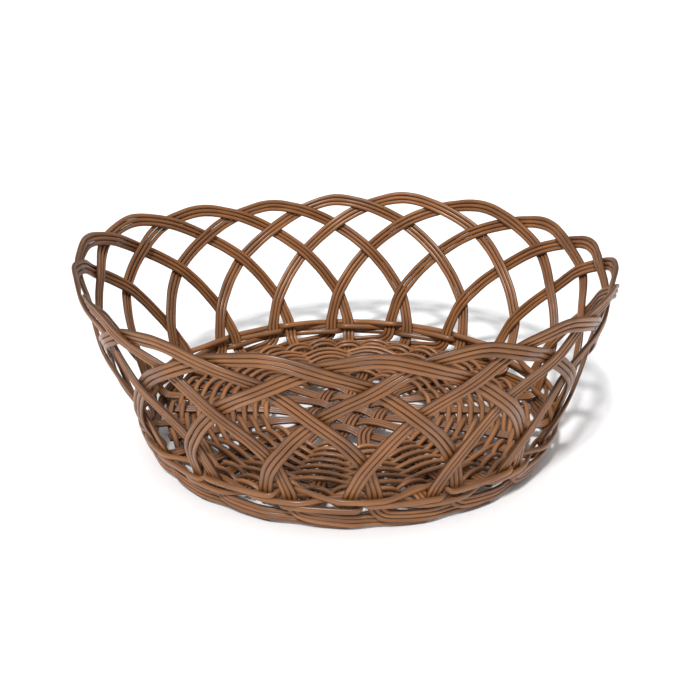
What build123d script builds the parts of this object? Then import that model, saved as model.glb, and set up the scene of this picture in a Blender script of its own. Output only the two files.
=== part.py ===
from build123d import *
import os
from math import atan2, cos, degrees, hypot, pi, radians, sin, tan

# Round open-weave bread basket of brown plastic cane, in millimetres.
# +Z is up and the origin is at the middle of the plane that the foot rests on.
#
# The wall is a lattice of eighteen arches. Each arch is a bundle of three strands side by side:
# it starts between the spokes of the base, turns up at the foot, climbs to the right, bends over
# as one scallop of the rim, goes down to the right and is laid away in the rolled foot border.
# "Lift" is the distance out of the wall's middle surface, and "side" the distance across a bundle.

# Overall sizes
basket_height = 92.0        # table to the top of the scallops
rim_diameter = 250.0        # over the outside of the scallops
waist_diameter = 204.0      # middle of the wall where the arches leave the foot
foot_diameter = 200.0       # over the outside of the foot, at the table
wall_lean = 0.38            # outward slope of the wall at the waist

# Cane
strand_diameter = 1.95      # arches and spokes
weaver_diameter = 2.4       # the heavier strands woven round the foot and the base
strands_per_bundle = 3
side_gap = 0.26             # between strands that lie side by side
crossing_gap = 0.29         # between bundles that cross
weaver_gap = 0.44           # between a weaver and the bundle that it passes
flat_depth = 0.12           # wear flat under each lowest strand

# Lattice
arch_count = 18
first_crest = 14.0          # angle of the first scallop
arch_reach = 43.0           # angle from a crest to the foot of its legs
arch_fullness = 1.6         # roundness of the arch beside its crest
arch_shoulder = 0.65        # steepness of the legs near the foot

# Foot
wale_rows = 3
wale_rise = 1.29            # from the legs' turned strands up to the lowest wale strand
wale_gap = 0.2              # between one wale strand and the next
leg_rise = 0.2              # straight leg above the middle of the top wale strand
leg_turn_rise = 0.1         # from the underside of the wale up to where a leg starts to turn
border_gap = 1.27           # from the border's strands up to a leg that turns into it
border_run = 33.5           # angle that a leg's tail follows the border

# Base
base_gap = 1.87             # from the border's strands up to the middle of the spokes
spoke_end_radius = 91.5     # where the spokes stop
slath_pitch = 11.0          # bundle spacing in the check-woven middle
slath_x_bundles = 5
slath_y_bundles = 4
stake_rounds = 4            # outer rounds that also hold the arches' runs between the spokes
first_round_radius = 42.0   # innermost round of the base weave
round_gap = 0.4             # between one round and the next

# Derived sizes
pitch_angle = 360.0 / arch_count
half_pitch = pitch_angle / 2.0
spoke_phase = half_pitch    # from an arch's run to the next spoke, in the middle of the gap
strand_radius = strand_diameter / 2.0
strand_pitch = strand_diameter + side_gap
bundle_half = strand_pitch * (strands_per_bundle - 1) / 2.0
cross_lift = (strand_diameter + crossing_gap) / 2.0
weaver_lift = (strand_diameter + weaver_diameter) / 2.0 + weaver_gap
weaver_half = bundle_half + weaver_diameter / 2.0 + 2 * weaver_gap  # rib's middle to weaver's bend
sides = [strand_pitch * (i - (strands_per_bundle - 1) / 2.0) for i in range(strands_per_bundle)]
crossings = int(arch_reach / half_pitch)
waist_radius = waist_diameter / 2.0
rim_radius = rim_diameter / 2.0 - strand_radius
rim_height = basket_height - strand_radius
foot_radius = foot_diameter / 2.0 - strand_radius - cross_lift
border_height = strands_per_bundle * strand_pitch
border_drop = border_height + border_gap
base_height = border_height + base_gap
wale_base_height = border_drop + bundle_half + weaver_diameter / 2.0 + wale_rise
wale_pitch = weaver_diameter + wale_gap
waist_height = wale_base_height + (wale_rows - 1) * wale_pitch + leg_rise
round_pitch = weaver_diameter + round_gap
base_rounds = int((spoke_end_radius - first_round_radius) / round_pitch) + 1
first_stake_round = first_round_radius + (base_rounds - stake_rounds) * round_pitch
stake_tail_radius = first_stake_round - weaver_diameter / 2.0  # flush with that round's inside


# ---------------------------------------------------------------- the wall's middle surface

def wall_radius(z):
    """Radius of the wall's middle surface: it flares above the waist and tucks in below it."""
    rise = z - waist_height
    if rise >= 0:
        span = rim_height - waist_height
        bend = (rim_radius - waist_radius - wall_lean * span) / span**2
    else:
        bend = -(waist_radius - foot_radius - wall_lean * waist_height) / waist_height**2
    return waist_radius + wall_lean * rise + bend * rise**2


def wall_slope(z):
    """Outward slope of the middle surface."""
    step = 0.01
    return (wall_radius(z + step) - wall_radius(z - step)) / (2 * step)


def wall_point(angle, z, lift=0.0, heading=0.0, side=0.0):
    """A point on the wall: out of it by lift, and to the left of the heading by side."""
    slope = wall_slope(z)
    norm = hypot(1.0, slope)
    climb = side * cos(radians(heading))
    radius = wall_radius(z) + (lift + climb * slope) / norm
    height = z + (climb - lift * slope) / norm
    turn = radians(angle) - side * sin(radians(heading)) / radius
    return Vector(radius * cos(turn), radius * sin(turn), height)


# ---------------------------------------------------------------- strands

def rounded_path(points, closed=False):
    """Straight runs through the points, with every corner rounded as far as its runs allow."""
    count = len(points)
    corners = range(count) if closed else range(1, count - 1)
    edges = []
    first = None
    last = None if closed else points[0]
    for i in corners:
        corner = points[i]
        back = points[i - 1] - corner
        ahead = points[(i + 1) % count] - corner
        setback = 0.45 * min(back.length, ahead.length)
        back = back.normalized()
        ahead = ahead.normalized()
        half_turn = (pi - radians(back.get_angle(ahead))) / 2.0
        depth = setback * (1.0 / cos(half_turn) - 1.0) / tan(half_turn)
        start = corner + back * setback
        end = corner + ahead * setback
        middle = corner + (back + ahead).normalized() * depth
        if last is not None:
            edges.append(Edge.make_line(last, start))
        else:
            first = start
        edges.append(Edge.make_three_point_arc(start, middle, end))
        last = end
    edges.append(Edge.make_line(last, first if closed else points[-1]))
    return Wire(edges)


def strand(points, diameter, closed=False):
    """One round strand of cane along the points."""
    path = rounded_path(points, closed)
    section = Plane(origin=path @ 0, z_dir=path % 0) * Circle(diameter / 2.0)
    return sweep(section, path=path).solids()[0]


# ---------------------------------------------------------------- arches

crest_height = rim_height - bundle_half / hypot(1.0, wall_slope(rim_height))


def arch_height(offset):
    """Height of an arch's middle strand at an angle from its crest."""
    share = min(abs(offset) / arch_reach, 1.0)
    rise = (1.0 - share**arch_fullness) ** arch_shoulder
    return waist_height + (crest_height - waist_height) * rise


def arch_run(offset):
    """Sideways and upward travel along the wall for each degree, going to the right."""
    step = 0.01
    z = arch_height(offset)
    rise = (arch_height(offset + step) - arch_height(offset - step)) / (2 * step)
    return radians(1.0) * wall_radius(z), rise * hypot(1.0, wall_slope(z))


def arch_point(offset, lift, side):
    """A point of one of the bundle's strands."""
    along, up = arch_run(offset)
    return wall_point(offset, arch_height(offset), lift, degrees(atan2(up, along)), side)


def crossing_span(number, side):
    """Angles between which one strand stays over or under the bundle that it crosses."""
    offset = number * half_pitch
    along, up = arch_run(offset)
    lattice_angle = 2 * atan2(abs(up), along)
    speed = hypot(along, up)
    middle = offset + side / tan(lattice_angle) / speed
    half = (bundle_half / sin(lattice_angle) + strand_radius) / speed
    return middle - half, middle + half


def leg_points(direction, side):
    """The weaving part of one leg, from the crest down. The legs go over and under in turn."""
    points = []
    for number in range(1, crossings + 1):
        over = (number % 2 == 1) == (direction > 0)
        lift = cross_lift if over else -cross_lift
        start, end = crossing_span(number, side)
        points.append(arch_point(direction * start, lift, side))
        points.append(arch_point(direction * end, lift, side))
        if number < crossings:
            next_start = crossing_span(number + 1, side)[0]
            points.append(arch_point(direction * (end + next_start) / 2.0, 0.0, side))
    return points


def base_run_points(side):
    """The start of an arch: a run between the spokes of the base, then up through the wale."""
    turn = radians(-arch_reach)
    outward = Vector(cos(turn), sin(turn), 0)
    across = Vector(sin(turn), -cos(turn), 0) * side
    corner_radius = wall_radius(base_height)
    radii = (stake_tail_radius, corner_radius)
    points = [outward * radius + across + Vector(0, 0, base_height) for radius in radii]
    points.append(wall_point(-arch_reach, waist_height, 0.0, 90.0, side))
    return points


def border_points(side):
    """The end of an arch: down through the wale, round into the foot border, and under the next."""
    slope = wall_slope(0.0)
    rest = strand_radius - flat_depth + (bundle_half - cross_lift * slope) / hypot(1.0, slope)
    sink = border_drop - rest
    knots = [
        (0.0, waist_height, 0.0),
        (0.0, wale_base_height - weaver_diameter / 2.0 + leg_turn_rise, 0.0),
        (2.3, border_drop, cross_lift),
        (7.0, rest + 0.75 * sink, cross_lift),
        (14.5, rest + 0.50 * sink, cross_lift),
        (20.5, rest + 0.30 * sink, -cross_lift),
        (27.5, rest + 0.10 * sink, -cross_lift),
        (border_run, rest, -cross_lift),
    ]
    runs = [
        atan2(after[1] - before[1], radians(after[0] - before[0]) * wall_radius(after[1]))
        for before, after in zip(knots, knots[1:])
    ]
    points = []
    for i, (turn, z, lift) in enumerate(knots):
        arriving = runs[max(i - 1, 0)]
        leaving = runs[min(i, len(runs) - 1)]
        heading = degrees(arriving + leaving) / 2.0
        mitre = side / cos((leaving - arriving) / 2.0)
        points.append(wall_point(arch_reach + turn, z, lift, heading, mitre))
    return points


def arch_strand(side):
    """One strand of the arch whose crest is on +X."""
    crest = [arch_point(offset, 0.0, side) for offset in (-3.5, 0.0, 3.5)]
    up_leg = leg_points(-1, side)[::-1]
    down_leg = leg_points(1, side)
    points = base_run_points(side) + up_leg + crest + down_leg + border_points(side)
    body = strand(points, strand_diameter)
    table = Pos(0, 0, -rim_radius) * Box(2 * rim_diameter, 2 * rim_diameter, 2 * rim_radius)
    return (body - table).solids()[0]


# ---------------------------------------------------------------- foot wale

def wale_row(row):
    """A strand twined round the legs above the border: outside two legs, then inside one."""
    z = wale_base_height + row * wale_pitch
    half = degrees(weaver_half / wall_radius(z))
    legs = sorted(
        (first_crest + i * pitch_angle + foot) % 360.0
        for i in range(arch_count)
        for foot in (-arch_reach, arch_reach)
    )
    points = []
    for number, angle in enumerate(legs):
        lift = -weaver_lift if (number + row) % 3 == 0 else weaver_lift
        points.append(wall_point(angle - half, z, lift))
        points.append(wall_point(angle + half, z, lift))
    return strand(points, weaver_diameter, closed=True)


# ---------------------------------------------------------------- base

def spoke_angle(number):
    """Direction of a spoke's end, halfway between two arches' runs."""
    return first_crest - arch_reach + spoke_phase + number * pitch_angle


def beside(points, side):
    """The same path, moved to its left by side in plan, with mitred corners."""
    moved = []
    for i, point in enumerate(points):
        before = points[max(i - 1, 0)]
        after = points[min(i + 1, len(points) - 1)]
        arriving = point - before if i > 0 else after - point
        leaving = after - point if i < len(points) - 1 else arriving
        normals = [Vector(-run.Y, run.X, 0).normalized() for run in (arriving, leaving)]
        both = normals[0] + normals[1]
        moved.append(point + both * (side / (1.0 + normals[0].dot(normals[1]))))
    return moved


def spoke_path(number, count, cross_count, middle_spoke):
    """A through bundle's middle line: a check-woven middle, fanned out to its two ends."""
    tilt = radians(spoke_angle(middle_spoke))
    along = Vector(cos(tilt), sin(tilt), 0)
    across = Vector(-sin(tilt), cos(tilt), 0)
    step = number - (count - 1) / 2.0
    flat = bundle_half + strand_radius + 0.2
    woven = []
    for crossing in range(cross_count):
        reach = (crossing - (cross_count - 1) / 2.0) * slath_pitch
        over = (number + crossing) % 2 == 0
        z = base_height + (cross_lift if over else -cross_lift)
        for shift in (-flat, flat):
            place = along * (reach + shift) + across * (step * slath_pitch)
            woven.append(place + Vector(0, 0, z))
    ends = []
    for angle in (spoke_angle(middle_spoke + arch_count / 2 - step), spoke_angle(middle_spoke + step)):
        outward = Vector(cos(radians(angle)), sin(radians(angle)), 0)
        radii = (spoke_end_radius, first_round_radius - weaver_diameter)
        ends.append([outward * radius + Vector(0, 0, base_height) for radius in radii])
    return ends[0] + woven + ends[1][::-1]


def base_spokes():
    """The through bundles: one set lies across the other, and they are checked in the middle."""
    sets = (
        (slath_x_bundles, slath_y_bundles, 0.0),
        (slath_y_bundles, slath_x_bundles, arch_count / 4.0),
    )
    bundles = []
    for count, cross_count, middle_spoke in sets:
        for number in range(count):
            path = spoke_path(number, count, cross_count, middle_spoke)
            bundles.append([strand(beside(path, side), strand_diameter) for side in sides])
    return bundles


def base_round(number):
    """One round of the base weave, over and under the spokes and the arches' runs."""
    radius = first_round_radius + number * round_pitch
    ribs = [spoke_angle(i) for i in range(arch_count)]
    if radius > stake_tail_radius:
        ribs += [spoke_angle(i) - spoke_phase for i in range(arch_count)]
    half = degrees(weaver_half / radius)
    points = []
    for i, angle in enumerate(sorted(ribs)):
        z = base_height + (weaver_lift if (i + number) % 2 == 0 else -weaver_lift)
        for turn in (angle - half, angle + half):
            points.append(Vector(radius * cos(radians(turn)), radius * sin(radians(turn)), z))
    return strand(points, weaver_diameter, closed=True)


# ---------------------------------------------------------------- the nodes

def save(name, solids):
    """Write one node: every solid in it is a separate strand."""
    export_step(Compound(children=list(solids)), f"parts/{name}.step")


def main():
    os.makedirs("parts", exist_ok=True)
    arch = [arch_strand(side) for side in sides]
    for i in range(arch_count):
        turn = Rot(0, 0, first_crest + i * pitch_angle)
        save(f"arch_stake_{i + 1:02d}", [turn * piece for piece in arch])
    for row in range(wale_rows):
        save(f"foot_wale_{row + 1}", [wale_row(row)])
    for i, bundle in enumerate(base_spokes()):
        save(f"base_spoke_{i + 1}", bundle)
    for number in range(base_rounds):
        save(f"base_round_{number + 1:02d}", [base_round(number)])


if __name__ == "__main__":
    main()
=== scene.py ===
import logging
from dataclasses import dataclass
from enum import Enum
from math import atan2, cos, degrees, hypot, pi, radians, sin, tan
from typing import Any, Iterable, Sequence

import bpy
import numpy as np
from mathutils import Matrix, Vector


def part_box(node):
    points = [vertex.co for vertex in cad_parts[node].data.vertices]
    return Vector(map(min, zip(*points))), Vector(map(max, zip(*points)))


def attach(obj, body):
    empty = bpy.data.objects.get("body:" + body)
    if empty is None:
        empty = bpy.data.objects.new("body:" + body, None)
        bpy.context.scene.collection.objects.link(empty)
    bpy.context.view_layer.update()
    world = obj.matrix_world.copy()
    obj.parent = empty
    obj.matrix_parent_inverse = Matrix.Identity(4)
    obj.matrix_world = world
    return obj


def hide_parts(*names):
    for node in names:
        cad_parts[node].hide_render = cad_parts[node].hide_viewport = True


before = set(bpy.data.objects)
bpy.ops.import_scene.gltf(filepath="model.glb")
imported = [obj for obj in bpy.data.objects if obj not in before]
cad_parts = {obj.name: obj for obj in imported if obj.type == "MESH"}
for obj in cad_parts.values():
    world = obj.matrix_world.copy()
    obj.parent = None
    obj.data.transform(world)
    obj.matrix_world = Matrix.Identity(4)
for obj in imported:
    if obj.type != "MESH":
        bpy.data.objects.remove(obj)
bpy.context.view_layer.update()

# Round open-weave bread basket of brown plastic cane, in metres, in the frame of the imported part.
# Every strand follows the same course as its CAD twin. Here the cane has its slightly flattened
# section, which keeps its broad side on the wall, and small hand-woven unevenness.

log = logging.getLogger("bread_basket")

MM = 0.001
Knots = list[np.ndarray]  # each knot: a place, and the way the cane's broad side faces


class Facing(Enum):
    """Which way the broad side of a strand faces where it lies in the base."""

    UP = 1.0
    DOWN = -1.0


# ---------------------------------------------------------------- the course of the weave


@dataclass(frozen=True)
class Gauge:
    """One gauge of plastic cane.

    Attributes:
        width: Across the broad side.
        thickness: Through the strand.
        sides: Corners of the section.
        swelling: Share by which the thickness wanders along the strand.
        wander: How far the strand strays from its course.
    """

    width: float
    thickness: float
    sides: int
    swelling: float
    wander: float


@dataclass(frozen=True)
class Weave:
    """The spacings that every part of the weave shares.

    Attributes:
        strand: Nominal diameter of the arches' and the spokes' cane.
        weaver: Nominal diameter of the heavier cane woven round them.
        strands_per_bundle: Strands side by side in a bundle.
        side_gap: Between strands that lie side by side.
        crossing_gap: Between bundles that cross.
        weaver_gap: Between a weaver and the bundle that it passes.
        flat_depth: Wear flat under each lowest strand.
        arch_count: Arches round the wall.
        first_crest: Angle of the first scallop, in degrees.
        reach: Angle from a crest to the foot of its legs.
        base_height: Height of the middle of the spokes.
        tail_radius: Inner end of the arches' runs between the spokes.
    """

    strand: float = 1.95 * MM
    weaver: float = 2.40 * MM
    strands_per_bundle: int = 3
    side_gap: float = 0.26 * MM
    crossing_gap: float = 0.29 * MM
    weaver_gap: float = 0.44 * MM
    flat_depth: float = 0.12 * MM
    arch_count: int = 18
    first_crest: float = 14.0
    reach: float = 43.0
    base_height: float = 8.5 * MM
    tail_radius: float = 80.0 * MM

    @property
    def pitch_angle(self) -> float:
        """Angle from one arch to the next."""
        return 360.0 / self.arch_count

    @property
    def strand_pitch(self) -> float:
        """Distance between the middles of neighbouring strands."""
        return self.strand + self.side_gap

    @property
    def bundle_half(self) -> float:
        """From a bundle's middle strand to its outer one."""
        return self.strand_pitch * (self.strands_per_bundle - 1) / 2.0

    @property
    def cross_lift(self) -> float:
        """How far a bundle stands off the middle surface where it crosses another."""
        return (self.strand + self.crossing_gap) / 2.0

    @property
    def weaver_lift(self) -> float:
        """How far a weaver stands off the bundle that it passes."""
        return (self.strand + self.weaver) / 2.0 + self.weaver_gap

    @property
    def weaver_half(self) -> float:
        """From a rib's middle to the bend of the weaver beside it."""
        return self.bundle_half + self.weaver / 2.0 + 2 * self.weaver_gap

    @property
    def sides(self) -> list[float]:
        """Places of a bundle's strands across it."""
        middle = (self.strands_per_bundle - 1) / 2.0
        return [self.strand_pitch * (i - middle) for i in range(self.strands_per_bundle)]


@dataclass(frozen=True)
class WallSurface:
    """The middle surface of the wall: it flares above the waist and tucks in below it."""

    height: float
    rim_diameter: float
    weave: Weave
    waist_diameter: float = 204.0 * MM
    waist_height: float = 18.0 * MM
    foot_diameter: float = 200.0 * MM
    lean: float = 0.38

    @property
    def rim_height(self) -> float:
        """Height of the middle of the topmost strand."""
        return self.height - self.weave.strand / 2.0

    def radius(self, z: float) -> float:
        """Radius of the middle surface.

        Args:
            z: Height above the table.

        Returns:
            The radius at that height.
        """
        waist = self.waist_diameter / 2.0
        rise = z - self.waist_height
        if rise >= 0:
            span = self.rim_height - self.waist_height
            rim = self.rim_diameter / 2.0 - self.weave.strand / 2.0
            bend = (rim - waist - self.lean * span) / span**2
        else:
            foot = self.foot_diameter / 2.0 - self.weave.strand / 2.0 - self.weave.cross_lift
            bend = -(waist - foot - self.lean * self.waist_height) / self.waist_height**2
        return waist + self.lean * rise + bend * rise**2

    def slope(self, z: float) -> float:
        """Outward slope of the middle surface at a height."""
        step = 0.01 * MM
        return (self.radius(z + step) - self.radius(z - step)) / (2 * step)

    def knot(
        self, angle: float, z: float, lift: float = 0.0, heading: float = 0.0, side: float = 0.0
    ) -> np.ndarray:
        """A knot of a strand on the wall.

        Args:
            angle: Angle round the basket, in degrees.
            z: Height of the middle surface there.
            lift: Distance out of the wall.
            heading: Direction of travel above the level, in degrees.
            side: Distance to the left of the heading.

        Returns:
            The place and the outward direction, six numbers.
        """
        slope = self.slope(z)
        norm = hypot(1.0, slope)
        climb = side * cos(radians(heading))
        radius = self.radius(z) + (lift + climb * slope) / norm
        height = z + (climb - lift * slope) / norm
        turn = radians(angle) - side * sin(radians(heading)) / radius
        outward = (cos(turn) / norm, sin(turn) / norm, -slope / norm)
        return np.array((radius * cos(turn), radius * sin(turn), height, *outward))


def flat_knot(place: Sequence[float], z: float, facing: Facing) -> np.ndarray:
    """A knot of a strand in the base, facing up or down."""
    return np.array((place[0], place[1], z, 0.0, 0.0, facing.value))


def beside(knots: Knots, side: float) -> Knots:
    """The same course in the base, moved to its left in plan with mitred corners.

    Args:
        knots: The bundle's middle course.
        side: Distance to the left.

    Returns:
        The moved knots.
    """
    moved = []
    for i, knot in enumerate(knots):
        before = knots[max(i - 1, 0)]
        after = knots[min(i + 1, len(knots) - 1)]
        arriving = (knot - before)[:2] if i > 0 else (after - knot)[:2]
        leaving = (after - knot)[:2] if i < len(knots) - 1 else arriving
        normals = [np.array((-run[1], run[0])) / np.linalg.norm(run) for run in (arriving, leaving)]
        both = (normals[0] + normals[1]) * side / (1.0 + normals[0] @ normals[1])
        copy = knot.copy()
        copy[:2] += both
        moved.append(copy)
    return moved


@dataclass(frozen=True)
class Course:
    """Turns the knots of a strand into a fine smooth line.

    Attributes:
        setback: Share of the shorter run by which a corner starts early.
        fine: Spacing of the points while the line is worked.
        ease: Length over which the bends are eased.
        step: Spacing of the finished points.
        corner_points: Points round each corner.
        fewest: Fewest runs that a line is cut into.
    """

    setback: float = 0.45
    fine: float = 0.4 * MM
    ease: float = 0.9 * MM
    step: float = 1.35 * MM
    corner_points: int = 9
    fewest: int = 8

    def rounded(self, knots: Knots, closed: bool) -> np.ndarray:
        """Straight runs and rounded corners.

        Args:
            knots: The knots of the strand.
            closed: Whether the last run goes back to the first knot.

        Returns:
            Points along the line, six numbers each.
        """
        count = len(knots)
        line = [] if closed else [knots[0]]
        blend = np.linspace(0.0, 1.0, self.corner_points)[:, None]
        for i in range(count) if closed else range(1, count - 1):
            corner = knots[i]
            back = knots[i - 1] - corner
            ahead = knots[(i + 1) % count] - corner
            near, far = np.linalg.norm(back[:3]), np.linalg.norm(ahead[:3])
            reach = self.setback * min(near, far)
            start = corner + back * reach / near
            end = corner + ahead * reach / far
            curve = (1 - blend) ** 2 * start + 2 * blend * (1 - blend) * corner + blend**2 * end
            line.extend(curve)
        line.append(line[0] if closed else knots[-1])
        return np.array(line)

    def spaced(self, line: np.ndarray, step: float) -> np.ndarray:
        """The line with evenly spaced points, about a step apart."""
        steps = np.linalg.norm(np.diff(line[:, :3], axis=0), axis=1)
        travel = np.concatenate(([0.0], np.cumsum(steps)))
        count = max(int(round(travel[-1] / step)), self.fewest)
        places = np.linspace(0.0, travel[-1], count + 1)
        return np.stack([np.interp(places, travel, column) for column in line.T], axis=1)

    def eased(self, line: np.ndarray, closed: bool) -> np.ndarray:
        """The line with its bends spread a little, its ends kept.

        Args:
            line: Evenly spaced points.
            closed: Whether it is a ring whose last point repeats the first.

        Returns:
            The eased points.
        """
        reach = int(3 * self.ease / self.fine)
        weights = np.exp(-0.5 * (np.arange(-reach, reach + 1) * self.fine / self.ease) ** 2)
        weights /= weights.sum()
        if closed:
            ring = line[:-1]
            padded = np.concatenate((ring[-reach:], ring, ring[:reach]))
        else:
            head = 2 * line[0] - line[1 : reach + 1][::-1]
            tail = 2 * line[-1] - line[-reach - 1 : -1][::-1]
            padded = np.concatenate((head, line, tail))
        smooth = np.stack([np.convolve(column, weights, "valid") for column in padded.T], axis=1)
        return np.concatenate((smooth, smooth[:1])) if closed else smooth

    def line(self, knots: Knots, closed: bool = False) -> np.ndarray:
        """The finished line of a strand."""
        fine = self.spaced(self.rounded(knots, closed), self.fine)
        return self.spaced(self.eased(fine, closed), self.step)


@dataclass(frozen=True)
class HandSet:
    """How the finished basket has settled out of true: one smooth shift of all the cane.

    Each wave is a level, then the cosine and sine parts of one, two, three and four waves round.

    Attributes:
        wall: The wall's middle surface.
        rise: Wave by which the rim stands higher, in millimetres.
        turn: Wave by which the crests lean round, in degrees.
        bulge: Share by which the left side of the wall stands out.
        bulge_angle: Middle of that bulge.
        bulge_spread: Half width of that bulge, in degrees.
    """

    wall: WallSurface
    rise: tuple[float, ...] = (-0.365, -0.475, 0.760, 1.937, -0.659, -2.145, 0.629, 0.820, -0.853)
    turn: tuple[float, ...] = (0.603, -1.025, 0.088, 0.618, -0.002, -0.773, -0.201, 1.530, -0.802)
    bulge: float = 0.024
    bulge_angle: float = 188.0
    bulge_spread: float = 30.0

    def wave(self, parts: tuple[float, ...], angle: np.ndarray) -> np.ndarray:
        """The height of a wave at each angle."""
        total = np.full_like(angle, parts[0])
        for turns in range(1, (len(parts) + 1) // 2):
            total += parts[2 * turns - 1] * np.cos(turns * angle)
            total += parts[2 * turns] * np.sin(turns * angle)
        return total

    def settle(self, line: np.ndarray) -> np.ndarray:
        """The points of a line after the basket has settled."""
        x, y, z = line[:, 0], line[:, 1], line[:, 2]
        angle = np.arctan2(y, x)
        foot = self.wall.waist_height
        share = np.clip((z - foot) / (self.wall.rim_height - foot), 0.0, 1.2)
        off_middle = np.cos(angle - radians(self.bulge_angle)) - 1.0
        bulge = self.bulge * np.exp(off_middle / radians(self.bulge_spread) ** 2)
        radius = np.hypot(x, y) * (1.0 + np.sqrt(share) * bulge)
        turned = angle + share * np.radians(self.wave(self.turn, angle))
        moved = line.copy()
        moved[:, 0], moved[:, 1] = radius * np.cos(turned), radius * np.sin(turned)
        moved[:, 2] = z + share * self.wave(self.rise, angle) * MM
        return moved


# ---------------------------------------------------------------- cane


@dataclass
class Strand:
    """One strand: its line, whether it is a ring, and its own shade of the colour."""

    line: np.ndarray
    closed: bool
    tint: float


def tree_of(name: str, kind: str, inputs: Iterable[tuple], outputs: Iterable[tuple]) -> Any:
    """An empty node group with its sockets.

    Args:
        name: The group's name.
        kind: The node tree's type.
        inputs: Name, kind of socket and default of each input.
        outputs: Name and kind of socket of each output.

    Returns:
        The new node group.
    """
    group = bpy.data.node_groups.new(name, kind)
    for label, socket, default in inputs:
        made = group.interface.new_socket(
            label, in_out="INPUT", socket_type="NodeSocket" + socket
        )
        if default is not None:
            made.default_value = default
    for label, socket in outputs:
        group.interface.new_socket(label, in_out="OUTPUT", socket_type="NodeSocket" + socket)
    return group


def place(tree: Any, kind: str, column: int, row: int = 0, **settings: Any) -> Any:
    """A new node in a tree, laid out on a grid, with its settings."""
    node = tree.nodes.new(kind)
    node.location = (190 * column, -170 * row)
    for key, value in settings.items():
        setattr(node, key, value)
    return node


def fill(node: Any, values: dict[Any, Any]) -> None:
    """Sets a node's inputs, each under its name or number."""
    for key, value in values.items():
        node.inputs[key].default_value = value


def wire(tree: Any, links: Iterable[tuple]) -> None:
    """Links a tree's nodes.

    Args:
        tree: The node tree.
        links: Node and output, then node and input, of each link.
    """
    for source, output, target, entry in links:
        tree.links.new(source.outputs[output], target.inputs[entry])


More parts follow.
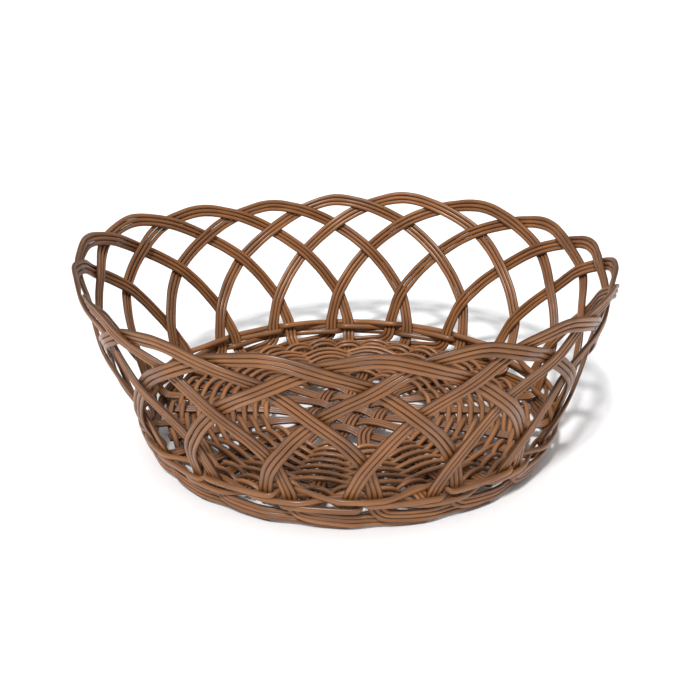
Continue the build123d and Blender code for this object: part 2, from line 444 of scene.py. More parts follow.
class CaneSweep:
    """The tree that draws a flattened cane section along a strand's line."""

    def __init__(self) -> None:
        """Builds the tree once; every piece of the basket uses it."""
        self.group = tree_of(
            "Cane Sweep",
            "GeometryNodeTree",
            [
                ("Geometry", "Geometry", None),
                ("Width", "Float", 2.1 * MM),
                ("Thickness", "Float", 1.8 * MM),
                ("Sides", "Int", 10),
                ("Swelling", "Float", 0.04),
                ("Seed", "Int", 1),
                ("Material", "Material", None),
            ],
            [("Geometry", "Geometry")],
        )
        tree = self.group
        entry = place(tree, "NodeGroupInput", 0)
        curve = place(tree, "GeometryNodeMeshToCurve", 1)
        facing = place(tree, "GeometryNodeInputNamedAttribute", 1, 2, data_type="FLOAT_VECTOR")
        facing.inputs["Name"].default_value = "facing"
        turned = place(tree, "GeometryNodeSetCurveNormal", 2, mode="FREE")
        noise = place(tree, "ShaderNodeTexNoise", 2, 3, noise_dimensions="4D")
        fill(noise, {"Scale": 55.0, "Detail": 1.0})
        swell = place(tree, "ShaderNodeMapRange", 3, 3)
        fill(swell, {"From Min": 0.3, "From Max": 0.7})
        thin = place(tree, "ShaderNodeMath", 3, 5, operation="SUBTRACT")
        thin.inputs[0].default_value = 1.0
        thick = place(tree, "ShaderNodeMath", 3, 6, operation="ADD")
        thick.inputs[0].default_value = 1.0
        radius = place(tree, "GeometryNodeSetCurveRadius", 4)
        section = place(tree, "GeometryNodeCurvePrimitiveCircle", 1, 4)
        section.inputs["Radius"].default_value = 1.0
        around = place(tree, "GeometryNodeStoreNamedAttribute", 3, 1, data_type="FLOAT_VECTOR")
        around.inputs["Name"].default_value = "around"
        spot = place(tree, "GeometryNodeInputPosition", 2, 4)
        halves = place(tree, "ShaderNodeCombineXYZ", 2, 5)
        oval = place(tree, "GeometryNodeTransform", 4, 2)
        half_scale = place(tree, "ShaderNodeVectorMath", 3, 7, operation="SCALE")
        half_scale.inputs["Scale"].default_value = 0.5
        sweep = place(tree, "GeometryNodeCurveToMesh", 5)
        sweep.inputs["Fill Caps"].default_value = True
        smooth = place(tree, "GeometryNodeSetShadeSmooth", 6)
        solid = place(tree, "GeometryNodeRealizeInstances", 7)
        finish = place(tree, "GeometryNodeSetMaterial", 8)
        leave = place(tree, "NodeGroupOutput", 9)
        links = [
            (entry, "Geometry", curve, "Mesh"),
            (curve, "Curve", turned, "Curve"),
            (facing, "Attribute", turned, "Normal"),
            (entry, "Seed", noise, "W"),
            (noise, "Fac", swell, "Value"),
            (entry, "Swelling", thin, 1),
            (entry, "Swelling", thick, 1),
            (thin, 0, swell, "To Min"),
            (thick, 0, swell, "To Max"),
            (turned, "Curve", radius, "Curve"),
            (swell, "Result", radius, "Radius"),
            (entry, "Sides", section, "Resolution"),
            (section, "Curve", around, "Geometry"),
            (spot, "Position", around, "Value"),
            (entry, "Thickness", halves, "X"),
            (entry, "Width", halves, "Y"),
            (halves, "Vector", half_scale, "Vector"),
            (around, "Geometry", oval, "Geometry"),
            (half_scale, "Vector", oval, "Scale"),
            (radius, "Curve", sweep, "Curve"),
            (oval, "Geometry", sweep, "Profile Curve"),
            (sweep, "Mesh", smooth, "Geometry"),
            (smooth, "Geometry", solid, "Geometry"),
            (solid, "Geometry", finish, "Geometry"),
            (entry, "Material", finish, "Material"),
            (finish, "Geometry", leave, "Geometry"),
        ]
        wire(tree, links)

    def socket(self, name: str) -> str:
        """The identifier of one of the tree's inputs."""
        return self.group.interface.items_tree[name].identifier

    def draw(self, name: str, strands: list[Strand], gauge: Gauge, material: Any, seed: int) -> Any:
        """One piece of the basket as a plain mesh.

        Args:
            name: The piece's name.
            strands: Its strands.
            gauge: The cane that they are made of.
            material: Its material.
            seed: Fixes the swelling.

        Returns:
            The finished object.
        """
        source = self.lines(name, strands)
        modifier = source.modifiers.new("Cane", "NODES")
        modifier.node_group = self.group
        values = {
            "Width": gauge.width,
            "Thickness": gauge.thickness,
            "Sides": gauge.sides,
            "Swelling": gauge.swelling,
            "Seed": seed,
            "Material": material,
        }
        for key, value in values.items():
            modifier[self.socket(key)] = value
        bpy.context.view_layer.update()
        graph = bpy.context.evaluated_depsgraph_get()
        mesh = bpy.data.meshes.new_from_object(source.evaluated_get(graph), depsgraph=graph)
        source.modifiers.remove(modifier)
        lines, source.data = source.data, mesh
        bpy.data.meshes.remove(lines)
        mesh.name = name
        return source

    def lines(self, name: str, strands: list[Strand]) -> Any:
        """The strands' lines as a mesh of edges that carries what the tree reads.

        Args:
            name: The object's name.
            strands: The strands.

        Returns:
            The object, in the scene.
        """
        points, facing, edges, tints, travel = [], [], [], [], []
        for strand in strands:
            line = strand.line[:-1] if strand.closed else strand.line
            first, count = sum(len(part) for part in points), len(line)
            edges += [(first + i, first + i + 1) for i in range(count - 1)]
            if strand.closed:
                edges.append((first + count - 1, first))
            points.append(line[:, :3])
            facing.append(line[:, 3:])
            tints += [strand.tint] * count
            travel += list(Course.step * np.arange(count) + strand.tint)
        mesh = bpy.data.meshes.new(name + "_lines")
        mesh.from_pydata(np.concatenate(points).tolist(), edges, [])
        mesh.attributes.new("facing", "FLOAT_VECTOR", "POINT").data.foreach_set(
            "vector", np.concatenate(facing).astype(np.float32).ravel()
        )
        mesh.attributes.new("tint", "FLOAT", "POINT").data.foreach_set("value", tints)
        mesh.attributes.new("along", "FLOAT", "POINT").data.foreach_set("value", travel)
        made = bpy.data.objects.new(name, mesh)
        bpy.context.scene.collection.objects.link(made)
        return made


# ---------------------------------------------------------------- finishes


class CaneEffects:
    """The shader groups that every cane finish shares."""

    def __init__(self) -> None:
        """Builds the groups once."""
        self.grain = self.build_grain()
        self.tone = self.build_tone()

    def build_grain(self) -> Any:
        """Fine lengthwise lines and slow drift in the plastic, and painted shade on the strands'
        flanks.

        Returns:
            The group.
        """
        group = tree_of(
            "Lengthwise Grain",
            "ShaderNodeTree",
            [
                ("Lines Around", "Float", 1.6),
                ("Lines Along", "Float", 45.0),
                ("Drift Scale", "Float", 60.0),
            ],
            [(name, "Float") for name in ("Lines", "Drift", "Painted Groove Shade")],
        )
        entry = place(group, "NodeGroupInput", 0)
        around = place(group, "ShaderNodeAttribute", 0, 2, attribute_name="around")
        along = place(group, "ShaderNodeAttribute", 0, 4, attribute_name="along")
        tint = place(group, "ShaderNodeAttribute", 0, 6, attribute_name="tint")
        spread = place(group, "ShaderNodeVectorMath", 1, 2, operation="SCALE")
        stretch = place(group, "ShaderNodeMath", 1, 4, operation="MULTIPLY")
        apart = place(group, "ShaderNodeMath", 1, 6, operation="MULTIPLY")
        apart.inputs[1].default_value = 40.0
        length = place(group, "ShaderNodeCombineXYZ", 2, 4)
        coordinate = place(group, "ShaderNodeVectorMath", 3, 2, operation="ADD")
        lines = place(group, "ShaderNodeTexNoise", 4, 2, noise_dimensions="4D")
        fill(lines, {"Scale": 1.0, "Detail": 3.0, "Roughness": 0.6})
        spot = place(group, "ShaderNodeTexCoord", 2, 6)
        drift = place(group, "ShaderNodeTexNoise", 4, 5)
        drift.inputs["Detail"].default_value = 2.0
        parts = place(group, "ShaderNodeSeparateXYZ", 1, 0)
        # Painted shade: a mask that grows towards each strand's flanks, where neighbouring strands
        # meet.
        flank = place(group, "ShaderNodeMath", 2, 0, operation="ABSOLUTE")
        painted_shade_mask = place(group, "ShaderNodeMath", 3, 0, operation="POWER")
        painted_shade_mask.inputs[1].default_value = 3.0
        leave = place(group, "NodeGroupOutput", 6)
        links = [
            (around, "Vector", spread, 0),
            (entry, "Lines Around", spread, "Scale"),
            (along, "Fac", stretch, 0),
            (entry, "Lines Along", stretch, 1),
            (tint, "Fac", apart, 0),
            (stretch, 0, length, "Z"),
            (spread, "Vector", coordinate, 0),
            (length, "Vector", coordinate, 1),
            (coordinate, "Vector", lines, "Vector"),
            (apart, 0, lines, "W"),
            (spot, "Object", drift, "Vector"),
            (entry, "Drift Scale", drift, "Scale"),
            (around, "Vector", parts, "Vector"),
            (parts, "Y", flank, 0),
            (flank, 0, painted_shade_mask, 0),
            (lines, "Fac", leave, "Lines"),
            (drift, "Fac", leave, "Drift"),
            (painted_shade_mask, 0, leave, "Painted Groove Shade"),
        ]
        wire(group, links)
        return group

    def build_tone(self) -> Any:
        """The cane's colour from its grain, its drift, the strand's own tone and painted shade
        between strands.

        Returns:
            The group.
        """
        group = tree_of(
            "Cane Tone",
            "ShaderNodeTree",
            [
                ("Light", "Color", (0.3, 0.17, 0.11, 1)),
                ("Dark", "Color", (0.15, 0.08, 0.05, 1)),
                ("Painted Shade Colour", "Color", (0.05, 0.025, 0.015, 1)),
                ("Lines", "Float", 0.5),
                ("Drift", "Float", 0.5),
                ("Painted Groove Shade", "Float", 0.0),
                ("Painted Shade Depth", "Float", 0.6),
            ],
            [("Color", "Color")],
        )
        entry = place(group, "NodeGroupInput", 0)
        tint = place(group, "ShaderNodeAttribute", 0, 4, attribute_name="tint")
        mixed = place(group, "ShaderNodeMath", 1, 1, operation="ADD")
        shade = place(group, "ShaderNodeMath", 2, 2, operation="MULTIPLY_ADD")
        shade.inputs[1].default_value = 0.35
        ramp = place(group, "ShaderNodeMapRange", 3, 1)
        fill(ramp, {"From Min": 0.75, "From Max": 1.6})
        body = place(group, "ShaderNodeMix", 4, 0, data_type="RGBA")
        # Painted shade: mixes a near-black colour in towards the flanks, where strands meet.
        painted_shade_factor = place(group, "ShaderNodeMath", 3, 3, operation="MULTIPLY")
        final = place(group, "ShaderNodeMix", 5, 0, data_type="RGBA")
        leave = place(group, "NodeGroupOutput", 6)
        links = [
            (entry, "Lines", mixed, 0),
            (entry, "Drift", mixed, 1),
            (tint, "Fac", shade, 0),
            (mixed, 0, shade, 2),
            (shade, 0, ramp, "Value"),
            (ramp, "Result", body, "Factor"),
            (entry, "Dark", body, "A"),
            (entry, "Light", body, "B"),
            (entry, "Painted Groove Shade", painted_shade_factor, 0),
            (entry, "Painted Shade Depth", painted_shade_factor, 1),
            (painted_shade_factor, 0, final, "Factor"),
            (body, "Result", final, "A"),
            (entry, "Painted Shade Colour", final, "B"),
            (final, "Result", leave, "Color"),
        ]
        wire(group, links)
        return group


@dataclass(frozen=True)
class Paint:
    """A finish ready for use: its material, and the slot name that the material carries."""

    slot: str
    material: Any


@dataclass(frozen=True)
class CaneFinish:
    """Satin plastic cane in one of its shades.

    Attributes:
        slot: Name given to the material.
        light: Colour of the raised lines.
        dark: Colour between them.
        painted_shade_colour: Painted shade in the grooves between neighbouring strands.
        roughness: Roughness of the dull and of the shiny patches.
        painted_shade_depth: How far the grooves are darkened with painted shade.
        relief: Height of the grain.
        coat: Weight of the shiny skin.
    """

    slot: str
    light: tuple[float, float, float, float]
    dark: tuple[float, float, float, float]
    painted_shade_colour: tuple[float, float, float, float]
    roughness: tuple[float, float] = (0.48, 0.25)
    painted_shade_depth: float = 0.92
    relief: float = 0.10 * MM
    coat: float = 0.12

    def paint(self, effects: CaneEffects) -> Paint:
        """The finish as a material, named after its slot.

        Args:
            effects: The shared shader groups.

        Returns:
            The paint.
        """
        material = bpy.data.materials.new(self.slot)
        material.use_nodes = True
        tree = material.node_tree
        shader = tree.nodes["Principled BSDF"]
        fill(shader, {"Coat Weight": self.coat, "Coat Roughness": 0.22, "Specular IOR Level": 0.32})
        grain = place(tree, "ShaderNodeGroup", -4, node_tree=effects.grain)
        tone = place(tree, "ShaderNodeGroup", -2, node_tree=effects.tone)
        # The darkest colour and its depth paint shade between neighbouring strands.
        fill(
            tone,
            {
                "Light": self.light,
                "Dark": self.dark,
                "Painted Shade Colour": self.painted_shade_colour,
                "Painted Shade Depth": self.painted_shade_depth,
            },
        )
        sheen = place(tree, "ShaderNodeMapRange", -2, 2)
        fill(
            sheen,
            {
                "From Min": 0.3,
                "From Max": 0.7,
                "To Min": self.roughness[0],
                "To Max": self.roughness[1],
            },
        )
        bump = place(tree, "ShaderNodeBump", -2, 4)
        fill(bump, {"Strength": 0.5, "Distance": self.relief})
        links = [
            *((grain, name, tone, name) for name in ("Lines", "Drift", "Painted Groove Shade")),
            (grain, "Drift", sheen, "Value"),
            (grain, "Lines", bump, "Height"),
            (tone, "Color", shader, "Base Color"),
            (sheen, "Result", shader, "Roughness"),
            (bump, "Normal", shader, "Normal"),
        ]
        wire(tree, links)
        return Paint(self.slot, material)


@dataclass(frozen=True)
class TableFinish:
    """The matt white table top under the basket."""

    colour: tuple[float, float, float, float] = (0.86, 0.86, 0.865, 1.0)
    roughness: float = 0.7

    def material(self) -> Any:
        """The finish as a material."""
        paint = bpy.data.materials.new("pale_table")
        paint.use_nodes = True
        shader = paint.node_tree.nodes["Principled BSDF"]
        fill(
            shader,
            {
                "Base Color": self.colour,
                "Roughness": self.roughness,
                "Specular IOR Level": 0.0,
            },
        )
        return paint


# ---------------------------------------------------------------- the basket's parts


@dataclass
class Workshop:
    """What every part of the basket is made with.

    Attributes:
        weave: The shared spacings.
        wall: The wall's middle surface.
        course: Smooths the strands' lines.
        hand: The finished basket's shift out of true.
        sweep: Draws the cane.
        effects: The shared shader groups.
        random: Source of every strand's wander and shade.
        stretch: Length of cane over which its wander repeats.
        waves: Waves of wander in that length.
        outward_share: Wander out of the wall, as a share of that along it.
    """

    weave: Weave
    wall: WallSurface
    course: Course
    hand: HandSet
    sweep: CaneSweep
    effects: CaneEffects
    random: np.random.Generator
    stretch: float = 210.0 * MM
    waves: tuple[int, ...] = (3, 7, 11)
    outward_share: float = 0.6

    def strand(self, knots: Knots, gauge: Gauge, closed: bool = False) -> Strand:
        """One strand along its knots, with a little wander of its own.

        Args:
            knots: The knots of its course.
            gauge: The cane.
            closed: Whether it is a ring.

        Returns:
            The strand.
        """
        line = self.course.line(knots, closed)
        phase = self.random.uniform(0, 2 * pi, 6)
        way = np.linspace(0.0, 2 * pi, len(line))
        stretches = max(1, round(len(line) * Course.step / self.stretch))
        cycles = [waves * stretches for waves in self.waves]
        sideways = sum(np.sin(c * way + p) for c, p in zip(cycles, phase[:3])) / 3
        outward = sum(np.sin(c * way + p) for c, p in zip(cycles, phase[3:])) / 3
        facing = line[:, 3:] / np.linalg.norm(line[:, 3:], axis=1, keepdims=True)
        heading = np.gradient(line[:, :3], axis=0)
        if closed:
            heading[0] = heading[-1] = line[1, :3] - line[-2, :3]
        across = np.cross(facing, heading)
        across /= np.linalg.norm(across, axis=1, keepdims=True)
        stray = across * sideways[:, None] + self.outward_share * facing * outward[:, None]
        line[:, :3] += gauge.wander * stray
        line[:, 3:] = facing
        return Strand(self.hand.settle(line), closed, float(self.random.uniform(0.0, 1.0)))

    def deliver(
        self, name: str, strands: list[Strand], gauge: Gauge, paint: Paint, seed: int
    ) -> Any:
        """Draws a piece, named after the CAD node that it stands for, hangs it on the body and
        hides that node.

        Args:
            name: The CAD node's name, on which the piece's name is built.
            strands: The piece's strands.
            gauge: The cane.
            paint: The material.
            seed: Fixes the piece's swelling.

        Returns:
            The piece.
        """
        piece = self.sweep.draw(name + "_cane", strands, gauge, paint.material, seed)
        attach(piece, "root")
        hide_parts(name)
        log.info("%s: %d strands, %d faces", name, len(strands), len(piece.data.polygons))
        return piece


@dataclass
class LatticeWall:
    """The arched bundles that make the open wall, the scalloped rim and the foot border."""

    shop: Workshop
    gauge: Gauge = Gauge(2.30 * MM, 1.78 * MM, 12, 0.035, 0.08 * MM)
    fullness: float = 1.6
    shoulder: float = 0.65
    leg_turn_height: float = 11.5 * MM
    border_drop: float = 7.9 * MM
    border_run: float = 33.5
    crest_offsets: tuple[float, ...] = (-3.5, 0.0, 3.5)
    finish: CaneFinish = CaneFinish(
        "wall_cane",
        light=(0.350, 0.146, 0.052, 1.0),
        dark=(0.150, 0.059, 0.021, 1.0),
        # Painted shade: the darkest colour, for the flanks where strands meet.
        painted_shade_colour=(0.022, 0.008, 0.004, 1.0),
    )

    def height(self, offset: float) -> float:
        """Height of an arch's middle strand at an angle from its crest."""
        wall, weave = self.shop.wall, self.shop.weave
        crest = wall.rim_height - weave.bundle_half / hypot(1.0, wall.slope(wall.rim_height))
        share = min(abs(offset) / weave.reach, 1.0)
        rise = (1.0 - share**self.fullness) ** self.shoulder
        return wall.waist_height + (crest - wall.waist_height) * rise

    def run(self, offset: float) -> tuple[float, float]:
        """Travel along the wall for each degree.

        Args:
            offset: Angle from the crest.

        Returns:
            The sideways and the upward travel.
        """
        step, wall = 0.01, self.shop.wall
        z = self.height(offset)
        rise = (self.height(offset + step) - self.height(offset - step)) / (2 * step)
        return radians(1.0) * wall.radius(z), rise * hypot(1.0, wall.slope(z))

    def knot(self, offset: float, lift: float, side: float) -> np.ndarray:
        """A knot of one of an arch's strands."""
        along, up = self.run(offset)
        heading = degrees(atan2(up, along))
        return self.shop.wall.knot(offset, self.height(offset), lift, heading, side)

    def crossing(self, number: int, side: float) -> tuple[float, float]:
        """The angles between which a strand stays over or under the bundle that it crosses.

        Args:
            number: Which crossing, counted from the crest.
            side: The strand's place across its bundle.

        Returns:
            The start and the end, from the crest.
        """
        weave = self.shop.weave
        offset = number * weave.pitch_angle / 2.0
        along, up = self.run(offset)
        lattice = 2 * atan2(abs(up), along)
        speed = hypot(along, up)
        middle = offset + side / tan(lattice) / speed
        half = (weave.bundle_half / sin(lattice) + weave.strand / 2.0) / speed
        return middle - half, middle + half

    def leg(self, direction: int, side: float) -> Knots:
        """The woven part of a leg, from the crest down.

        Args:
            direction: 1 for the leg to the right of the crest, -1 for the other.
            side: The strand's place across its bundle.

        Returns:
            The knots: over and under in turn.
        """
        weave = self.shop.weave
        lift = weave.cross_lift
        count = int(weave.reach / (weave.pitch_angle / 2.0))
        knots = []
        for number in range(1, count + 1):
            way = lift if (number % 2 == 1) == (direction > 0) else -lift
            start, end = self.crossing(number, side)
            knots.append(self.knot(direction * start, way, side))
            knots.append(self.knot(direction * end, way, side))
            if number < count:
                following = self.crossing(number + 1, side)[0]
                knots.append(self.knot(direction * (end + following) / 2.0, 0.0, side))
        return knots

    def start(self, side: float) -> Knots:
        """The run between the spokes of the base, then up through the wale."""
        wall, weave = self.shop.wall, self.shop.weave
        turn = radians(-weave.reach)
        knots = []
        for radius in (weave.tail_radius, wall.radius(weave.base_height)):
            spot = (
                radius * cos(turn) + side * sin(turn),
                radius * sin(turn) - side * cos(turn),
            )
            knots.append(flat_knot(spot, weave.base_height, Facing.DOWN))
        knots.append(wall.knot(-weave.reach, wall.waist_height, 0.0, 90.0, side))
        corner = wall.knot(-weave.reach, weave.base_height, 0.0, 90.0, side)
        knots[1][3:] = knots[1][3:] + corner[3:]
        return knots

    def border(self, side: float) -> Knots:
        """The end: down through the wale, round into the foot border and under the next bundles.

        Args:
            side: The strand's place across its bundle.

        Returns:
            The knots, with the bundle's sides mitred at each bend.
        """
        wall, weave = self.shop.wall, self.shop.weave
        slope, lift = wall.slope(0.0), weave.cross_lift
        rest = weave.strand / 2.0 - weave.flat_depth
        rest += (weave.bundle_half - lift * slope) / hypot(1.0, slope)
        sink = self.border_drop - rest
        stations = [
            (0.0, wall.waist_height, 0.0),
            (0.0, self.leg_turn_height, 0.0),
            (2.3, self.border_drop, lift),
            (7.0, rest + 0.75 * sink, lift),
            (14.5, rest + 0.50 * sink, lift),
            (20.5, rest + 0.30 * sink, -lift),
            (27.5, rest + 0.10 * sink, -lift),
            (self.border_run, rest, -lift),
        ]
        runs = [
            atan2(after[1] - before[1], radians(after[0] - before[0]) * wall.radius(after[1]))
            for before, after in zip(stations, stations[1:])
        ]
        knots = []
        for i, (turn, z, way) in enumerate(stations):
            arriving, leaving = runs[max(i - 1, 0)], runs[min(i, len(runs) - 1)]
            heading = degrees(arriving + leaving) / 2.0
            mitre = side / cos((leaving - arriving) / 2.0)
            knots.append(wall.knot(weave.reach + turn, z, way, heading, mitre))
        return knots

    def build(self, seed: int) -> list:
        """All the arches, one piece each.

        Args:
            seed: Fixes the swelling of the cane.

        Returns:
            The pieces.
        """
        weave = self.shop.weave
        paint = self.finish.paint(self.shop.effects)
        courses = []
        for side in weave.sides:
            crest = [self.knot(offset, 0.0, side) for offset in self.crest_offsets]
            up_leg = self.leg(-1, side)[::-1]
            down_leg = self.leg(1, side)
            courses.append(self.start(side) + up_leg + crest + down_leg + self.border(side))
        pieces = []
        for i in range(weave.arch_count):
            turn = radians(weave.first_crest + i * weave.pitch_angle)
            spin = np.array(((cos(turn), -sin(turn), 0), (sin(turn), cos(turn), 0), (0, 0, 1)))
            strands = []
            for course in courses:
                knots = [np.concatenate((spin @ knot[:3], spin @ knot[3:])) for knot in course]
                strands.append(self.shop.strand(knots, self.gauge))
            name = f"arch_stake_{i + 1:02d}"
            pieces.append(self.shop.deliver(name, strands, self.gauge, paint, seed + i))
        return pieces


@dataclass
class FootWale:
    """The heavier strands twined round the legs, just above the border."""

    shop: Workshop
    paint: Paint
    gauge: Gauge = Gauge(3.05 * MM, 2.20 * MM, 12, 0.07, 0.16 * MM)
    rows: int = 3
    lowest: float = 12.6 * MM
    pitch: float = 2.6 * MM

    def row(self, number: int) -> Knots:
        """One strand: outside two legs, then inside one.

        Args:
            number: The row, from the lowest.

        Returns:
            The knots of the ring.
        """
        weave, wall = self.shop.weave, self.shop.wall
        z = self.lowest + number * self.pitch
        half = degrees(weave.weaver_half / wall.radius(z))
        legs = sorted(
            (weave.first_crest + i * weave.pitch_angle + foot) % 360.0
            for i in range(weave.arch_count)
            for foot in (-weave.reach, weave.reach)
        )
        knots = []
        for i, angle in enumerate(legs):
            lift = -weave.weaver_lift if (i + number) % 3 == 0 else weave.weaver_lift
            knots.append(wall.knot(angle - half, z, lift))
            knots.append(wall.knot(angle + half, z, lift))
        return knots

    def build(self, seed: int) -> list:
        """All the rows, one piece each."""
        pieces = []
        for number in range(self.rows):
            strands = [self.shop.strand(self.row(number), self.gauge, closed=True)]
            name = f"foot_wale_{number + 1}"
            pieces.append(self.shop.deliver(name, strands, self.gauge, self.paint, seed + number))
        return pieces


@dataclass
class WovenBase:
    """The flat bottom: spokes checked in the middle, and the rounds woven through them."""

    shop: Workshop
    paint: Paint
    spoke_gauge: Gauge = Gauge(2.12 * MM, 1.80 * MM, 10, 0.03, 0.08 * MM)
    round_gauge: Gauge = Gauge(2.60 * MM, 2.10 * MM, 10, 0.05, 0.10 * MM)
    spoke_end_radius: float = 91.5 * MM
    slath_pitch: float = 11.0 * MM
    slath: tuple[int, int] = (5, 4)
    slath_gap: float = 0.2 * MM
    first_round_radius: float = 42.0 * MM
    round_pitch: float = 2.8 * MM
    rounds: int = 18
    spoke_phase: float = 10.0
    finish: CaneFinish = CaneFinish(
        "base_cane",
        light=(0.270, 0.115, 0.048, 1.0),
        dark=(0.150, 0.060, 0.024, 1.0),
        # Painted shade: the darkest colour, for the flanks where strands meet.
        painted_shade_colour=(0.020, 0.007, 0.004, 1.0),
    )

    def spoke_angle(self, number: float) -> float:
        """Direction of a spoke's end, halfway between two arches' runs."""
        weave = self.shop.weave
        first = weave.first_crest - weave.reach + self.spoke_phase
        return first + number * weave.pitch_angle

    def spoke(self, number: int, count: int, cross_count: int, middle_spoke: float) -> Knots:
        """A through bundle's middle line.

        Args:
            number: Which bundle of its set.
            count: Bundles in the set.
            cross_count: Bundles in the set that lies across it.
            middle_spoke: The spoke that the set points along.

        Returns:
            The knots, checked in the middle and fanned out to both ends.
        """
        weave = self.shop.weave
        tilt = radians(self.spoke_angle(middle_spoke))
        along = np.array((cos(tilt), sin(tilt)))
        across = np.array((-sin(tilt), cos(tilt)))
        step = number - (count - 1) / 2.0
        flat = weave.bundle_half + weave.strand / 2.0 + self.slath_gap
        woven = []
        for crossing in range(cross_count):
            reach = (crossing - (cross_count - 1) / 2.0) * self.slath_pitch
            lift = weave.cross_lift if (number + crossing) % 2 == 0 else -weave.cross_lift
            for shift in (-flat, flat):
                spot = along * (reach + shift) + across * (step * self.slath_pitch)
                woven.append(flat_knot(spot, weave.base_height + lift, Facing.UP))
        ends = []
        half_way = weave.arch_count / 2
        for spoke in (middle_spoke + half_way - step, middle_spoke + step):
            angle = radians(self.spoke_angle(spoke))
            outward = np.array((cos(angle), sin(angle)))
            radii = (self.spoke_end_radius, self.first_round_radius - weave.weaver)
            ends.append([flat_knot(outward * r, weave.base_height, Facing.UP) for r in radii])
        return ends[0] + woven + ends[1][::-1]

    def round(self, number: int) -> Knots:
        """One round of the weave, over and under the spokes and the arches' runs.

        Args:
            number: The round, from the innermost.

        Returns:
            The knots of the ring.
        """
        weave = self.shop.weave
        radius = self.first_round_radius + number * self.round_pitch
        ribs = [self.spoke_angle(i) for i in range(weave.arch_count)]
        if radius > weave.tail_radius:
            ribs += [self.spoke_angle(i) - self.spoke_phase for i in range(weave.arch_count)]
        half = degrees(weave.weaver_half / radius)
        knots = []
        for i, angle in enumerate(sorted(ribs)):
            lift = weave.weaver_lift if (i + number) % 2 == 0 else -weave.weaver_lift
            for turn in (angle - half, angle + half):
                spot = (radius * cos(radians(turn)), radius * sin(radians(turn)))
                knots.append(flat_knot(spot, weave.base_height + lift, Facing.UP))
        return knots

    def build(self, seed: int) -> list:
        """The spokes and the rounds, one piece each.

        Args:
            seed: Fixes the swelling of the cane.

        Returns:
            The pieces.
        """
        shop = self.shop
        paint = self.finish.paint(shop.effects)
        few, many = self.slath[1], self.slath[0]
        sets = ((many, few, 0.0), (few, many, shop.weave.arch_count / 4.0))
        bundles = [
            self.spoke(number, count, cross_count, middle)
            for count, cross_count, middle in sets
            for number in range(count)
        ]
        pieces = []
        for i, middle_line in enumerate(bundles):
            sides = shop.weave.sides
            strands = [shop.strand(beside(middle_line, side), self.spoke_gauge) for side in sides]
            name = f"base_spoke_{i + 1}"
            pieces.append(shop.deliver(name, strands, self.spoke_gauge, paint, seed + i))
        for number in range(self.rounds):
            strands = [shop.strand(self.round(number), self.round_gauge, closed=True)]
            name = f"base_round_{number + 1:02d}"
            seeded = seed + 100 + number
            pieces.append(shop.deliver(name, strands, self.round_gauge, self.paint, seeded))
        return pieces


# ---------------------------------------------------------------- table, light and camera


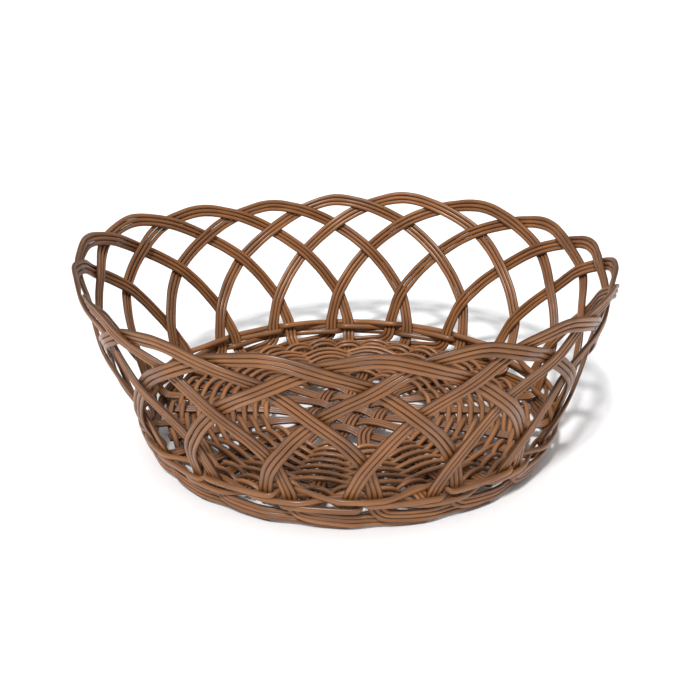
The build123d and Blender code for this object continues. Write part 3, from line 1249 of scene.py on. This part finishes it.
@dataclass
class Studio:
    """A plain white table, soft light from the front left, and the camera."""

    table: TableFinish = TableFinish()
    table_size: float = 12.0
    sky_low: float = 0.20
    sky_high: float = 0.90
    key_way: tuple[float, float, float] = (-0.021, -0.071, 0.092)
    key_spread: float = 7.0
    key_power: float = 3.1
    camera_place: tuple[float, float, float] = (0.0059, -0.4492, 0.2258)
    camera_pitch: float = 22.34
    camera_yaw: float = -0.71
    camera_roll: float = 0.33
    camera_lens: float = 50.5

    def build(self) -> None:
        """The table, the lights and the camera."""
        self.lay_table()
        self.light()
        self.aim_camera()

    def lay_table(self) -> None:
        """The table top, which is only the stage."""
        half = self.table_size / 2.0
        mesh = bpy.data.meshes.new("table")
        corners = [(-half, -half, 0), (half, -half, 0), (half, half, 0), (-half, half, 0)]
        mesh.from_pydata(corners, [], [(0, 1, 2, 3)])
        mesh.materials.append(self.table.material())
        top = bpy.data.objects.new("table", mesh)
        bpy.context.scene.collection.objects.link(top)

    def light(self) -> None:
        """White surroundings, brighter overhead, and one soft key light."""
        scene = bpy.context.scene
        world = bpy.data.worlds.new("soft_white")
        world.use_nodes = True
        tree = world.node_tree
        sky = tree.nodes["Background"]
        sky.inputs["Color"].default_value = (1.0, 1.0, 1.0, 1.0)
        way = place(tree, "ShaderNodeTexCoord", -3)
        parts = place(tree, "ShaderNodeSeparateXYZ", -2)
        level = place(tree, "ShaderNodeMapRange", -1)
        fill(level, {"To Min": self.sky_low, "To Max": self.sky_high})
        links = [
            (way, "Generated", parts, "Vector"),
            (parts, "Z", level, "Value"),
            (level, "Result", sky, "Strength"),
        ]
        wire(tree, links)
        scene.world = world
        lamp = bpy.data.lights.new("key", "SUN")
        lamp.angle = radians(self.key_spread)
        lamp.energy = self.key_power
        key = bpy.data.objects.new("key", lamp)
        toward = Vector(self.key_way).normalized()
        key.location = toward
        key.rotation_euler = (-toward).to_track_quat("-Z", "Y").to_euler()
        scene.collection.objects.link(key)
        scene.view_settings.view_transform = "Standard"

    def aim_camera(self) -> None:
        """The camera, looking down at the front of the basket."""
        pitch, yaw = radians(self.camera_pitch), radians(self.camera_yaw)
        forward = Vector((sin(yaw) * cos(pitch), cos(yaw) * cos(pitch), -sin(pitch)))
        data = bpy.data.cameras.new("camera")
        data.lens = self.camera_lens
        data.sensor_width = 36.0
        camera = bpy.data.objects.new("camera", data)
        camera.location = self.camera_place
        level = forward.to_track_quat("-Z", "Y").to_matrix()
        roll = level.copy()
        tilt = radians(self.camera_roll)
        right, up = level.col[0].copy(), level.col[1].copy()
        roll.col[0] = right * cos(tilt) + up * sin(tilt)
        roll.col[1] = up * cos(tilt) - right * sin(tilt)
        camera.rotation_euler = roll.to_euler()
        bpy.context.scene.collection.objects.link(camera)
        bpy.context.scene.camera = camera


def main() -> None:
    """Builds the basket in its frame, then the table, the light and the camera."""
    logging.basicConfig(level=logging.INFO, format="%(name)s %(message)s")
    highest = max(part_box(name)[1].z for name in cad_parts)
    widest = 2 * max(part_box(name)[1].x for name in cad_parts)
    log.info("frame is %.1f mm high and reaches %.1f mm", highest / MM, widest / MM)
    weave = Weave()
    wall = WallSurface(height=92.0 * MM, rim_diameter=250.0 * MM, weave=weave)
    effects = CaneEffects()
    random = np.random.default_rng(18)
    shop = Workshop(weave, wall, Course(), HandSet(wall), CaneSweep(), effects, random)
    weaver_paint = CaneFinish(
        "weaver_cane",
        light=(0.345, 0.148, 0.056, 1.0),
        dark=(0.140, 0.056, 0.021, 1.0),
        # Painted shade: the darkest colour and the depth below darken the flanks where strands
        # meet.
        painted_shade_colour=(0.022, 0.008, 0.004, 1.0),
        painted_shade_depth=0.5,
    ).paint(effects)
    LatticeWall(shop).build(seed=100)
    FootWale(shop, weaver_paint).build(seed=300)
    WovenBase(shop, weaver_paint).build(seed=400)
    Studio().build()


if __name__ == "__main__":
    main()
